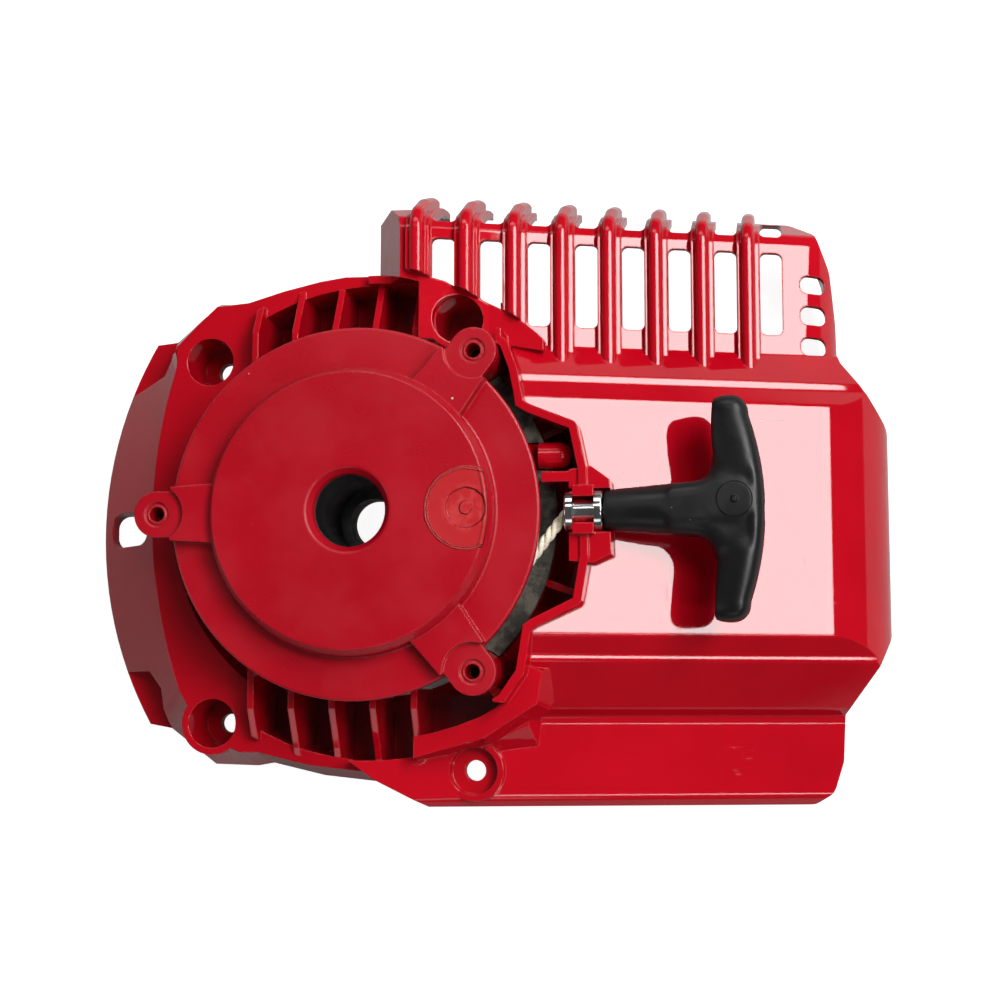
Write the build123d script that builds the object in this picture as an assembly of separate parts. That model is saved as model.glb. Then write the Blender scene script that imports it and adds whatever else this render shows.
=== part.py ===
from build123d import *
import math
import os

os.makedirs("parts", exist_ok=True)

# The origin is on the starter axis in the rear rim plane of the fan ring.
# +X is the pull direction, +Z points out of the reel cover, units are mm.

# ---- fits and walls ----
wall = 2.6
running_gap = 0.05
free_gap = 0.3
small_gap = 0.1

# ---- rope and reel ----
rope_d = 3.8
rope_wraps = 3
pitch_r = 55.6
groove_gap = 0.4
groove_w = rope_d + groove_gap
groove_wall = 2.2
rope_z = 44.0
wrap_angle = 330.0
reel_r = pitch_r + rope_d / 2 + 0.4
groove_floor_r = pitch_r - rope_wraps * rope_d + rope_d / 2
ring_in_r = groove_floor_r - groove_wall
flange_t = 1.8
reel_top_z = rope_z + groove_w / 2 + flange_t
reel_low_z = rope_z - groove_w / 2 - flange_t
web_t = 2.6
web_low_z = reel_top_z - web_t
reel_rib_t = 2.0
reel_rib_count = 6
knot_r = 3.9
knot_angle = 30.0

# ---- reel cover ----
disc_r = 62.0
disc_t = 2.6
disc_low_z = reel_top_z + free_gap
disc_top_z = disc_low_z + disc_t
cup_r = 47.4
cup_wall = 2.8
cup_top_z = 60.0
cup_bevel = 1.8
cup_bevel_h = 3.0
bore_mouth_r = 14.0
bore_neck_r = 12.0
mouth_depth = 2.6
gate_x = 39.0
gate_r = 13.4
gate_depth = 0.3
dish_r = 6.7
dish_depth = 1.2
nub_r = 2.3

# ---- axle sleeve ----
sleeve_bore_r = 11.75
sleeve_wall = 1.75
sleeve_r = sleeve_bore_r + sleeve_wall
sleeve_top_z = 54.5
sleeve_step_z = 18.0
sleeve_low_z = 8.0
sleeve_eye_r = 8.2
cover_hub_r = 17.0
cover_hub_low_z = 51.5

# ---- reel hub, washer and clip ----
hub_r = 18.5
hub_top_z = cover_hub_low_z - free_gap
washer_t = 1.2
washer_r = 17.8
clip_t = 1.2
clip_r = 16.6
clip_groove_r = 12.6
clip_mouth = 9.0

# ---- spiral spring ----
spring_t = 0.9
spring_in_r = 20.2
spring_turns = 7
spring_pitch = 3.1
spring_low_z = reel_top_z + 0.5
spring_high_z = cup_top_z - cup_wall - free_gap

# ---- pawls ----
pawl_count = 2
pawl_first_angle = 90.0
pawl_swing = 30.0
guide_turn = 25.0
pawl_pin_r = 2.0
pawl_orbit = 31.0
pawl_t = 5.4
pawl_len = 15.0
pawl_w = 7.4
pawl_high_z = reel_low_z - free_gap
pawl_low_z = pawl_high_z - pawl_t
peg_r = 1.5
peg_arm = 9.0
guide_t = 1.6
guide_r = 41.0
guide_top_z = pawl_low_z - free_gap
guide_low_z = guide_top_z - guide_t
hub_low_z = guide_top_z + free_gap
boss_r = 5.0
wire_r = 0.7
brake_leg = 11.0
washer_high_z = guide_low_z - 2 * wire_r - 2 * small_gap
clip_high_z = washer_high_z - washer_t
pawl_wire_r = 0.4

# ---- lugs and their posts ----
lug_orbit = 66.2
lug_angles = (180.0, 52.5, -52.5)
lug_r = 7.7
lug_top_z = 54.0
lug_t = 3.6
arm_step_z = 56.0
screw_r = 2.0
screw_hole_r = 2.5
screw_rim_r = 4.1
screw_top_z = 44.0
screw_seat_z = 15.0
screw_head_r = 3.6
screw_head_t = 2.6
spigot_r = 4.2
spigot_low_z = 40.0

# ---- fan ring ----
lip_z = 3.0
ring_top_z = 26.0
ring_edge_z = 30.0
recess_wall = 2.8
slot_l = 18.5
slot_h = 12.2
slot_r = 4.5
rim_top_z = 48.0
rib_pitch = 14.0
rib_first_x = -38.2
rib_t = 2.2
rib_top_z = 36.0
floor_top_z = 3.6
floor_t = 2.6
rib_low_z = floor_top_z - 1.0
reel_room_r = 69.0
spider_low_z = 24.0
spider_in_r = 60.0
spider_out_r = 65.4
seal_t = 2.6
seal_in_r = 59.6
seal_out_r = 66.0
bore_r = 8.3
bolt_r = 3.3
bore_wall = 2.4
bore_floor = 4.0
bolts = ((-57.1, 56.4), (-54.4, -69.2), (32.2, 67.1))
deck_bolt = (36.2, -85.0)
deck_bolt_hole_r = 3.5
deck_bore_r = 8.0
deck_bore_depth = 4.2
deck_floor_t = 3.0

# ---- boss beside the rope way ----
tube_boss_r = 4.4
boss_len = 7.0
boss_mid_x = 63.6
boss_y = 19.4
boss_z = 37.0

# ---- cylinder cover, leaning down toward +X ----
lean = 19.0
lean_x = 57.0
lean_z = 43.0
rim_depth = 41.0
end_x = 177.3
end_round = 31.0
grille_end_x = 160.4
grille_end_round = 20.0
slot_first_x = 27.2
slot_pitch = 15.75
slot_count = 8
slot_w = 7.6
slot_low_y = 65.6
slot_high_y = 95.0
row_low_y = 101.2
fin_w = 4.6
fin_crown = 2.0
fin_base_w = 7.6
fin_base_drop = 3.4

# ---- rope eyelet ----
eye_x0 = 69.6
eye_x1 = 82.2
eye_r = 7.0
eye_flange_t = 2.7
eye_groove_r = 4.15
eye_bore_r = 2.5
eye_mouth_r = eye_flange_t

# ---- handle ----
grip_x0 = eye_x1 + free_gap
stem_half0 = 6.7
stem_half1 = 9.3
stem_round = 20.0
tip_r = 5.6
flare_r = 8.0
bar_x = 37.0
bar_w = 15.0
bar_half = 36.7
bar_bow = 5.0
bar_tip_w = 13.0
bar_t = 17.0
bar_round = 5.0
knot_pocket_r = knot_r + small_gap + 0.5
pocket_x = 38.6
rope_hole_r = rope_d / 2 + groove_gap
knot_washer_t = 1.2
plug_t = 4.0


def prism(points, z0, z1):
    face = make_face(Polyline(*points, close=True))
    return extrude(Pos(0, 0, z0) * face, z1 - z0)


def drum(x, y, r, z0, z1):
    return Pos(x, y, (z0 + z1) / 2) * Cylinder(r, z1 - z0)


def pipe(x, y, r_out, r_in, z0, z1):
    return drum(x, y, r_out, z0, z1) - drum(x, y, r_in, z0 - 1, z1 + 1)


def about_axis(angle, shape):
    return Rot(0, 0, angle) * shape


def polar(r, angle):
    a = math.radians(angle)
    return (r * math.cos(a), r * math.sin(a))


def post_radius(angle):
    return lug_r - 2.2 if angle == 180.0 else lug_r


def save(name, shape):
    shape.label = name
    export_step(shape, f"parts/{name}.step")


# ================= fan housing =================
lean_rad = math.radians(lean)
run_dir = Vector(math.cos(lean_rad), 0, -math.sin(lean_rad))
lean_plane = Plane(origin=(lean_x, 0, lean_z), x_dir=(0, 1, 0), z_dir=run_dir)


def rounded(points, radii):
    face = make_face(Polyline(*points, close=True))
    for i, r in radii.items():
        x, y = points[i]
        face = fillet(face.vertices().sort_by_distance((x, y, 0))[0], r)
    return face


def leaning(points, grow=0.0, radii=None):
    face = rounded(points, radii or {})
    if grow:
        face = offset(face, amount=grow, kind=Kind.INTERSECTION)
    face = lean_plane * (Pos(0, 0, -90) * face)
    return extrude(face, 260, dir=run_dir)


def lean_height(x, w=0.0):
    return lean_z - (x - lean_x) * math.tan(lean_rad) + w / math.cos(lean_rad)


def side_view(right_x, w, rounding, left_points, grow=0.0):
    corner = (right_x, lean_height(right_x, w))
    start = (left_points[-1][0], lean_height(left_points[-1][0], w))
    outline = make_face(Polyline(*left_points, start, corner, (right_x, -90), close=True))
    vertex = outline.vertices().sort_by_distance((right_x, corner[1], 0))[0]
    outline = fillet(vertex, rounding)
    if grow:
        outline = offset(outline, amount=grow, kind=Kind.INTERSECTION)
    return Pos(0, 130, 0) * extrude(Plane.XZ * outline, 260)


def plan_view(points, grow=0.0, radii=None):
    face = rounded(points, radii or {})
    if grow:
        face = offset(face, amount=grow, kind=Kind.INTERSECTION)
    return extrude(Pos(0, 0, -95) * face, 200, dir=(0, 0, 1))


cover_plan = [
    (44, 59.0), (160.0, 59.0), (161.0, 56), (end_x, 32.5), (end_x, -39.5), (172.3, -50),
    (164.5, -61), (160.8, -66.3), (160.0, -82.5), (156.5, -93.5), (150, -97.4), (21, -97),
    (4, -87.8), (-6, -80), (20, -60), (44, -40),
]
cover_plan_radii = {3: 7.0, 4: 5.0, 5: 12.0, 6: 4.0, 8: 6.0, 9: 6.0, 10: 5.0}
cover_profile = [
    (-98, -110), (-98, -30), (-94.5, -26), (-69.2, -25), (-66.8, -24.2), (-64.4, -20),
    (-48.6, -5.6), (-46.4, -5.2), (-40.2, 0), (38.7, 0), (44.6, -4.6), (47.2, -5),
    (59, -15), (59, -110),
]
cover_profile_radii = {1: 2.5, 2: 3.0, 3: 2.0, 4: 2.0, 5: 5.0, 6: 3.0, 7: 1.5, 8: 2.0, 9: 2.0,
                       10: 1.5, 11: 1.2, 12: 1.5}
grille_plan = [
    (1, 55), (grille_end_x, 55), (159.9, 72), (158.0, 90), (152.5, 104), (145, 110.5),
    (139, 113.5), (19.3, 113.5), (17, 109.3), (1, 105.8),
]
grille_plan_radii = {3: 14.0, 4: 6.0}
grille_profile = [
    (50, -110), (50, -15), (98.5, -15.5), (102.5, -18), (111.5, -38), (113, -48), (113, -110),
]
grille_profile_radii = {2: 3.0, 3: 3.0, 4: 6.0}


def cover_body(grow=0.0):
    left = [(-30, -90), (-30, -89)]
    body = plan_view(cover_plan, grow, cover_plan_radii)
    body &= leaning(cover_profile, grow, cover_profile_radii)
    body &= side_view(end_x, 0, end_round, left, grow)
    return body


def grille_body(grow=0.0):
    left = [(0.5, -90), (0.5, 14), (13.5, 42)]
    body = plan_view(grille_plan, grow, grille_plan_radii)
    body &= leaning(grille_profile, grow, grille_profile_radii)
    body &= side_view(grille_end_x, -15, grille_end_round, left, grow)
    return body


# the fan ring is a flared band between a base outline and a smaller top outline
ring_base = [
    (-76, -71), (-59.5, -83.5), (-44.3, -84), (-38.5, -83), (-20, -87.3), (-1.5, -89.3),
    (20, -95), (60, -86), (72, 0), (62, 60), (48, 73), (30, 82.5), (10, 87.0),
    (-9.8, 86.6), (-19.8, 85.4), (-33.5, 82.6), (-48.4, 80.6), (-60, 82), (-67, 76.8),
    (-76.5, 68.3),
]
ring_top = [
    (-61.5, -66), (-52, -76), (-44.5, -79), (-38, -79), (-20, -83.3), (-1.5, -85.3),
    (20, -86), (55, -70), (62, 0), (56, 60), (45, 71), (28, 80), (9, 84.8),
    (-9, 85), (-18, 83.7), (-31, 80.7), (-43.5, 77), (-55, 76), (-61, 70.5),
    (-69, 62.5),
]
base_start = (-84, 67.5)
base_mid = (-102.3, -1)
base_end = (-84, -69.5)
top_start = (-69.5, 54)
top_mid = (-77.0, -3)
top_end = (-66.5, -57.5)


def outline(start, mid, end, points):
    arc = ThreePointArc(start, mid, end)
    rest = Polyline(end, *points, start)
    return make_face([arc, rest])


base_face = outline(base_start, base_mid, base_end, ring_base)
top_face = outline(top_start, top_mid, top_end, ring_top)
base_in = offset(base_face, amount=-wall, kind=Kind.INTERSECTION)
top_in = offset(top_face, amount=-wall, kind=Kind.INTERSECTION)

ring_body = extrude(base_face, lip_z)
ring_body += loft([Pos(0, 0, lip_z) * base_face, Pos(0, 0, ring_top_z) * top_face], ruled=True)
ring_hollow = extrude(Pos(0, 0, -1) * base_in, lip_z + 1)
ring_hollow += loft(
    [Pos(0, 0, lip_z) * base_in, Pos(0, 0, ring_top_z - wall) * top_in], ruled=True
)

# corner pockets leave the low flange bare around a small hole
pockets = [
    [(-73.5, 80), (-73.5, 58.5), (-76.2, 53), (-110, 44), (-110, 80)],
    [(-110, -51), (-81, -51), (-75.8, -57), (-75.2, -90), (-110, -90)],
]
pocket_holes = ((-79.6, 56.6), (-78.8, -59.4))
pocket_cut = Part() + [prism(p, lip_z, 60) for p in pockets]
pocket_keep = Part() + [
    extrude(Pos(0, 0, -2) * offset(make_face(Polyline(*p, close=True)), amount=wall), 60)
    for p in pockets
]

# opening over the starter, its wall and the raised rim on the rope side
opening = Pos(42, 0) * Circle(116.8) & Pos(2, 0) * Circle(81.5)
inlet_x0 = rib_first_x - rib_t / 2
inlet_x1 = 46.0
inlet_zone = Pos((inlet_x0 + inlet_x1) / 2, 0) * Rectangle(inlet_x1 - inlet_x0, 200)
opening &= inlet_zone + (Circle(reel_room_r) & Pos(-50, 0) * Rectangle(100, 200))
opening -= Pos(49.5, 80) * Rectangle(60, 40)
opening -= [Pos(x, y) * Circle(bore_r + bore_wall) for x, y in bolts]
rope_side = [
    (38, 63), (48.5, 55), (51.3, 47.5), (52.8, 40), (53.6, 34.8), (57.4, 32.6), (71.3, 27),
    (74.2, 13), (74.7, -14.8), (72.3, -28.7), (58.6, -35.4), (56, -37.2), (53.6, -52),
    (48, -60), (38, -66),
]
rope_room = make_face(Polyline(*rope_side, close=True))
band_inner = [(18, -73.6), (24.6, -72.2), (32.7, -69.9), (40.3, -67.0), (48.3, -62.4)]
opening -= make_face(Polyline(*band_inner, (48.3, -95), (18, -95), close=True))
opening = opening + rope_room
opening_wall = offset(opening, amount=recess_wall, kind=Kind.ARC) - opening

low_wall = extrude(Pos(0, 0, 2) * opening_wall, ring_edge_z - 2)
low_wall &= ring_body + Pos(30, 0, 15) * Box(60, 200, 32)
high_zone = prism([(47, 61), (95, 70), (95, -70), (46, -62)], 0, rim_top_z)
high_wall = extrude(Pos(0, 0, 2) * opening_wall, rim_top_z - 2) & high_zone

band_low = [(18, -73.6), (32.7, -69.9), (48.3, -62.4), (56, -50), (66, -50), (62, -65), (44, -76),
            (18, -82.5)]
band_high = [(18, -73.6), (32.7, -69.9), (48.3, -62.4), (56, -50), (61, -52), (59.3, -62.7),
             (41.3, -74.1), (18, -80.4)]
band = loft(
    [
        Pos(0, 0, ring_top_z - 4) * make_face(Polyline(*band_low, close=True)),
        Pos(0, 0, rib_top_z + 2) * make_face(Polyline(*band_high, close=True)),
    ],
    ruled=True,
)

shoulder_arc = Spline((61, 59.9), (56.5, 64.1), (50, 68.8), (41, 73.5), (29.8, 78.4), (19.5, 80.9))
shoulder_rest = Polyline((19.5, 80.9), (19.5, 60), (50, 58), (61, 56), (61, 59.9))
shoulder = extrude(Pos(0, 0, 20) * make_face([shoulder_arc, shoulder_rest]), rib_top_z - 24)

shell = ring_body + cover_body() + grille_body()
shell -= pocket_cut
hollow = ring_hollow + cover_body(-wall) + grille_body(-wall)
hollow -= pocket_keep
shell -= hollow
shell += shoulder
shell += band
shell -= extrude(Pos(0, 0, -5) * opening, 100)
shell += low_wall
shell += high_wall

# bolt tubes through the ring
for x, y in bolts:
    top = rib_top_z - 4 if x > 0 else ring_top_z
    shell += drum(x, y, bore_r + bore_wall, 0, top)
deck_top_z = lean_height(deck_bolt[0], -25) + 0.8
deck_floor_z = deck_top_z - deck_bore_depth
shell += drum(*deck_bolt, bore_r + 1.9, deck_floor_z - deck_floor_t, deck_top_z)

# spider ring that carries the seal on the rope side, inlet ribs and cover posts
seal_side = prism([(0, 0), polar(120, lug_angles[1]), polar(120, lug_angles[2])], 0, 60)
spider = pipe(0, 0, spider_out_r, spider_in_r, spider_low_z, rib_top_z - seal_t) & seal_side
inlet_floor = extrude(Pos(0, 0, floor_top_z - floor_t) * (opening + opening_wall), floor_t)
inlet_floor -= drum(0, 0, spider_in_r, -1, floor_top_z + 1)
ribs = Part()
for i in range(5):
    x = rib_first_x + i * rib_pitch
    for side in (1, -1):
        section = [
            (side * (spider_in_r * 0.78), rib_low_z), (side * 87, rib_low_z),
            (side * 87, ring_top_z - 4), (side * 80.5, ring_top_z),
            (side * 77.5, ring_top_z + 1.5), (side * 64.2, rib_top_z),
            (side * (spider_in_r * 0.78), rib_top_z),
        ]
        face = Plane.YZ * make_face(Polyline(*section, close=True))
        ribs += Pos(x - rib_t / 2, 0, 0) * extrude(face, rib_t)
reach = extrude(Pos(0, 0, rib_low_z) * (opening + opening_wall), 40)
ribs &= reach
ribs -= drum(0, 0, spider_in_r + 0.5, 0, 60)
posts = Part()
webs = Part()
for angle in lug_angles:
    x, y = polar(lug_orbit, angle)
    posts += drum(x, y, post_radius(angle), rib_low_z, lug_top_z - lug_t)
    web = Pos(lug_orbit + 7, 0, 19) * Box(14, 3.2, 32)
    webs += about_axis(angle, web)
spokes = Part() + [
    about_axis(a, Pos(70.5, 0, 16) * Box(21, 2.4, 26)) for a in (24, -20)
]
inner = spider + ribs + posts + inlet_floor + ((webs + spokes) & reach)
inner -= drum(0, 0, reel_r + 0.4, reel_low_z - 1, 70)
inner -= drum(0, 0, disc_r + free_gap, disc_low_z - free_gap, 70)
shell += inner

# eyelet seat block on the raised rim
seat = prism([(71, 13.5), (78.3, 14.5), (84.4, 10), (84.8, -14.4), (78.8, -17.2), (71, -16.5)],
             20, rim_top_z - 1)
shell += seat
shell += Pos(68.5, 11.2, 33) * Box(13, 3.4, 28)
eye_gap = 0.15
eye_mid = (eye_x0 + eye_x1) / 2
eye_slot = Pos(eye_mid, 0, (rope_z + 60) / 2) * Box(30, 2 * (eye_r + eye_gap), 60 - rope_z)
eye_slot += Pos(eye_mid, 0, rope_z) * Rot(0, 90, 0) * Cylinder(eye_r + eye_gap, 30)
neck_x0 = eye_x0 + eye_flange_t + 0.1
neck_x1 = eye_x1 - eye_flange_t - 0.1
neck_w = neck_x1 - neck_x0
tabs = Pos((neck_x0 + neck_x1) / 2, 0, rope_z - 1.5) * Box(neck_w, 2 * eye_r + 2, 2 * eye_r + 1)
tabs -= Pos(eye_mid, 0, rope_z) * Rot(0, 90, 0) * Cylinder(eye_groove_r + eye_gap, 30)
tabs -= Pos(eye_mid, 0, rope_z + 10) * Box(30, 2 * (eye_groove_r + eye_gap), 20)
shell -= eye_slot
shell += tabs
tube_boss = Pos(boss_mid_x, boss_y, boss_z) * Rot(0, 90, 0) * Cylinder(tube_boss_r, boss_len)
tube_boss += Pos(boss_mid_x + boss_len / 2, boss_y, boss_z) * Sphere(tube_boss_r)
tube_boss += Pos(boss_mid_x, boss_y, (boss_z + floor_top_z) / 2) * Box(
    boss_len, 2 * tube_boss_r - 2.4, boss_z - floor_top_z + 1
)
tube_boss -= drum(0, 0, spider_in_r + 0.5, 0, 60)

seal_room = pipe(0, 0, seal_out_r + free_gap, seal_in_r - 1, rib_top_z - seal_t, rib_top_z + free_gap)
seal_room &= seal_side
for angle in lug_angles:
    seal_room -= drum(*polar(lug_orbit, angle), post_radius(angle), 0, 60)
shell -= seal_room
shell += tube_boss

# air grille
slots = Part()
for i in range(slot_count):
    x = slot_first_x + i * slot_pitch
    cut = Pos(x, (slot_low_y + slot_high_y) / 2) * RectangleRounded(
        slot_w, slot_high_y - slot_low_y, 2.2
    )
    slots += extrude(Pos(0, 0, -60) * cut, 130)
    row_high_y = 120 if i < slot_count - 1 else 110.5
    row = Pos(x, (row_low_y + row_high_y) / 2) * RectangleRounded(
        slot_w, row_high_y - row_low_y, 1.8
    )
    slots += extrude(Pos(0, 0, -60) * row, 130)
ring_keep = extrude(Pos(0, 0, -5) * top_face, 60) + extrude(
    Pos(0, 0, -5) * offset(base_face, amount=-0.2), 33
)
ring_keep += extrude(Pos(0, 0, -5) * make_face([shoulder_arc, shoulder_rest]), 60)
slots -= ring_keep


def fin_slab(width, points, radii):
    slab = Pos(0, 85, lean_height(0, -30)) * Box(width, 90, 120)
    return slab & leaning(points, 0, radii)


def is_outer_fin_edge(edge):
    mid = edge @ 0.5
    w = (mid.Z - lean_height(mid.X)) * math.cos(lean_rad)
    along = abs((edge @ 0).X - (edge @ 1).X) < 0.01 and abs(mid.X) > fin_w / 2 - 0.01
    return along and mid.Y > 51 and (w > -14 or mid.Y > 105 and w > -36)


fin_top = [
    (50, -20), (50, -9.5), (99, -9.5), (104.5, -12.5), (110.5, -24), (114.8, -37),
    (114.2, -41), (110, -41), (98, -20),
]
fin_base = [
    (50, -20), (50, -9.5 - fin_base_drop), (98, -9.5 - fin_base_drop),
    (102.5, -12.5 - fin_base_drop), (107.5, -26), (111.5, -38), (108, -38), (98, -20),
]
crown = fin_slab(fin_w, fin_top, {2: 6, 3: 6, 4: 8})
crown_edges = [e for e in crown.edges() if is_outer_fin_edge(e)]
crown = fillet(crown_edges, fin_crown)
fin = crown + fin_slab(fin_base_w, fin_base, {2: 5, 3: 5, 4: 7})
fins = Part()
for i in range(slot_count):
    x = slot_first_x + (i - 0.5) * slot_pitch
    fins += Pos(x, 0, -x * math.tan(lean_rad)) * fin
fins -= ring_keep
side_cuts = Part()
for y0, y1 in ((87.4, 81.0), (76.6, 69.8), (65.4, 58.9)):
    hole = Pos(151.8, (y0 + y1) / 2) * RectangleRounded(8.6, y0 - y1, 2.6)
    side_cuts += extrude(Pos(0, 0, -50) * hole, 80)
shell -= slots
shell -= side_cuts
shell += fins - hollow

# bores, holes and the band slot
for x, y in bolts:
    shell -= drum(x, y, bore_r, bore_floor, 70)
    shell -= drum(x, y, bolt_r, -1, 70)
shell -= drum(*deck_bolt, deck_bore_r, deck_floor_z, 60)
shell -= drum(*deck_bolt, deck_bolt_hole_r, -1, 60)
for x, y in pocket_holes:
    shell -= drum(x, y, 1.6, -1, 10)
slot_wall = Pos(-89, -1) * RectangleRounded(slot_l + 2 * wall, slot_h + 2 * wall, slot_r + wall)
shell += extrude(slot_wall, ring_top_z) & ring_body
shell -= extrude(Pos(-89, -1, 0) * RectangleRounded(slot_l, slot_h, slot_r), 40)
for angle in lug_angles:
    x, y = polar(lug_orbit, angle)
    shell -= drum(x, y, screw_r + small_gap, 4, 60)
    shell -= drum(x, y, spigot_r + small_gap, spigot_low_z - small_gap, 60)
    shell -= drum(x, y, screw_head_r + groove_gap, 0, screw_seat_z)

below = Pos(0, 130, 0) * extrude(
    Plane.XZ
    * make_face(
        Polyline(
            (-150, -140), (-150, 0),
            (lean_x + (lean_z - rim_depth / math.cos(lean_rad)) / math.tan(lean_rad), 0),
            (200, lean_height(200, -rim_depth)), (200, -140), close=True,
        )
    ),
    260,
)
shell -= below
save("fan_housing", shell)

# ================= reel cover =================
cup_in_r = cup_r - cup_wall
cup_in_z = cup_top_z - cup_wall
sleeve_seat_r = sleeve_r + running_gap
half = make_face(
    Polyline(
        (sleeve_seat_r, cover_hub_low_z), (cover_hub_r, cover_hub_low_z),
        (cover_hub_r, cup_in_z), (cup_in_r, cup_in_z), (cup_in_r, disc_low_z),
        (disc_r, disc_low_z), (disc_r, disc_top_z), (cup_r, disc_top_z),
        (cup_r, cup_top_z - cup_bevel_h), (cup_r - cup_bevel, cup_top_z),
        (bore_mouth_r, cup_top_z), (bore_neck_r, cup_top_z - mouth_depth),
        (bore_neck_r, sleeve_top_z), (sleeve_seat_r, sleeve_top_z), close=True,
    )
)


def corner(face, x, y):
    return face.vertices().sort_by_distance((x, y, 0))[0]


half = fillet(corner(half, disc_r, disc_top_z), 0.9)
half = fillet(corner(half, cup_r, disc_top_z), 0.8)
half = fillet(corner(half, cup_r, cup_top_z - cup_bevel_h), 1.2)
half = fillet(corner(half, cup_r - cup_bevel, cup_top_z), 0.5)
half = fillet(corner(half, bore_mouth_r, cup_top_z), 1.2)
half = fillet(corner(half, bore_neck_r, cup_top_z - mouth_depth), 0.9)
cover = revolve(Plane.XZ * half, Axis.Z)

lug_low_z = lug_top_z - lug_t
arm_notch_r = lug_r + 1.8
arm_half0 = lug_r + 2.2
arm_half1 = lug_r + 1.2
for angle in lug_angles:
    lug = extrude(Pos(lug_orbit, 0, lug_low_z) * Circle(lug_r), lug_t)
    strip = Pos((lug_orbit + cup_r - 1) / 2, 0, lug_low_z + lug_t / 2)
    lug += strip * Box(lug_orbit - cup_r + 1, 2 * lug_r, lug_t)
    arm = prism(
        [(cup_r - 1.5, arm_half0), (lug_orbit - 5.2, arm_half1),
         (lug_orbit - 5.2, -arm_half1), (cup_r - 1.5, -arm_half0)],
        lug_low_z, arm_step_z,
    )
    arm -= drum(lug_orbit, 0, arm_notch_r, lug_low_z - 5, arm_step_z + 1)
    arm = fillet(arm.edges().filter_by(Axis.Z).group_by(Axis.X)[0], 0.3)
    lug += arm
    lug -= drum(lug_orbit, 0, screw_rim_r, lug_top_z - 0.7, lug_top_z + 3)
    lug += pipe(lug_orbit, 0, screw_rim_r - 0.9, screw_hole_r, lug_top_z - 1, lug_top_z - 0.2)
    lug += drum(lug_orbit, 0, spigot_r, spigot_low_z, lug_low_z + 1)
    lug -= drum(lug_orbit, 0, screw_hole_r, screw_top_z + 0.5, lug_top_z + 3)
    lug -= drum(lug_orbit, 0, screw_r + running_gap, spigot_low_z - 1, lug_top_z + 3)
    cover += about_axis(angle, lug)
cup_room = drum(0, 0, cup_in_r, disc_low_z - 1, cup_in_z)
cup_room -= drum(0, 0, cover_hub_r, disc_low_z - 1, cup_in_z)
cover -= cup_room
gate_rim = drum(0, 0, cup_r - cup_bevel - 0.8, cup_top_z - gate_depth, cup_top_z + 1)
cover -= drum(gate_x, 0, gate_r, cup_top_z - gate_depth, cup_top_z + 1) & gate_rim
dish_ball = (dish_r ** 2 + dish_depth ** 2) / (2 * dish_depth)
dish_z = cup_top_z - gate_depth - dish_depth + dish_ball
cover -= Pos(gate_x, 0, dish_z) * Sphere(dish_ball) & gate_rim
cover += drum(gate_x, 0, nub_r, cup_top_z - cup_wall, cup_top_z - gate_depth - dish_depth + 0.8)
anchor_r = 1.6
anchor_orbit = cup_in_r - anchor_r + 0.6
cover += drum(0, -anchor_orbit, anchor_r, spring_low_z, cup_in_z)
save("reel_cover", cover)

# ================= cover screws, from the rear =================
screws = []
for angle in lug_angles:
    x, y = polar(lug_orbit, angle)
    screw = drum(x, y, screw_r, screw_seat_z - 1, screw_top_z)
    head = drum(x, y, screw_head_r, screw_seat_z - screw_head_t, screw_seat_z)
    head = fillet(head.edges().sort_by(Axis.Z)[0], 0.9)
    cross = Pos(x, y, screw_seat_z - screw_head_t) * (Box(4.2, 0.9, 2.4) + Box(0.9, 4.2, 2.4))
    screws.append(screw + head - cross)
save("cover_screws", Compound(children=screws))

# ================= axle sleeve, washer and clip =================
clip_low_z = clip_high_z - clip_t
sleeve = pipe(0, 0, sleeve_r, sleeve_bore_r, sleeve_step_z, sleeve_top_z)
sleeve += pipe(0, 0, sleeve_r, sleeve_eye_r, sleeve_low_z, sleeve_step_z)
groove = pipe(0, 0, sleeve_r + 1, clip_groove_r, clip_low_z - running_gap, clip_high_z + running_gap)
sleeve -= groove
sleeve = chamfer(sleeve.edges().filter_by(GeomType.CIRCLE).sort_by(Axis.Z)[0:1], 0.5)
save("axle_sleeve", sleeve)

washer = pipe(0, 0, washer_r, sleeve_r + running_gap, washer_high_z - washer_t, washer_high_z)
save("thrust_washer", washer)

clip = pipe(0, 0, clip_r, clip_groove_r + running_gap, clip_low_z, clip_high_z)
clip -= Pos(clip_r, 0, clip_low_z) * Box(2 * clip_r, clip_mouth, 4 * clip_t)
ear = drum(clip_groove_r + 2.6, clip_mouth / 2 + 1.6, 2.6, clip_low_z, clip_high_z)
ear -= drum(0, 0, clip_groove_r + running_gap, 0, 60)
ear -= Pos(clip_r, 0, clip_low_z) * Box(2 * clip_r, clip_mouth - 1.6, 4 * clip_t)
ears = ear + mirror(ear, Plane.XZ)
clip += ears
for side in (1, -1):
    clip -= drum(clip_groove_r + 2.6, side * (clip_mouth / 2 + 1.6), 0.9, 0, 60)
save("retaining_clip", about_axis(-90, clip))

# ================= recoil spring =================
def spiral(offset_r):
    arcs = []
    for i in range(2 * spring_turns):
        r = spring_in_r + i * spring_pitch / 2 + offset_r
        cx = 0 if i % 2 == 0 else spring_pitch / 2
        side = 1 if i % 2 == 0 else -1
        arcs.append(ThreePointArc((cx + side * r, 0), (cx, side * r), (cx - side * r, 0)))
    return arcs


inner = spiral(-spring_t / 2)
outer = spiral(spring_t / 2)
caps = [Line(inner[0] @ 0, outer[0] @ 0), Line(inner[-1] @ 1, outer[-1] @ 1)]
coil = extrude(Pos(0, 0, spring_low_z) * make_face([*inner, *outer, *caps]), spring_high_z - spring_low_z)
save("recoil_spring", coil)

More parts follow.
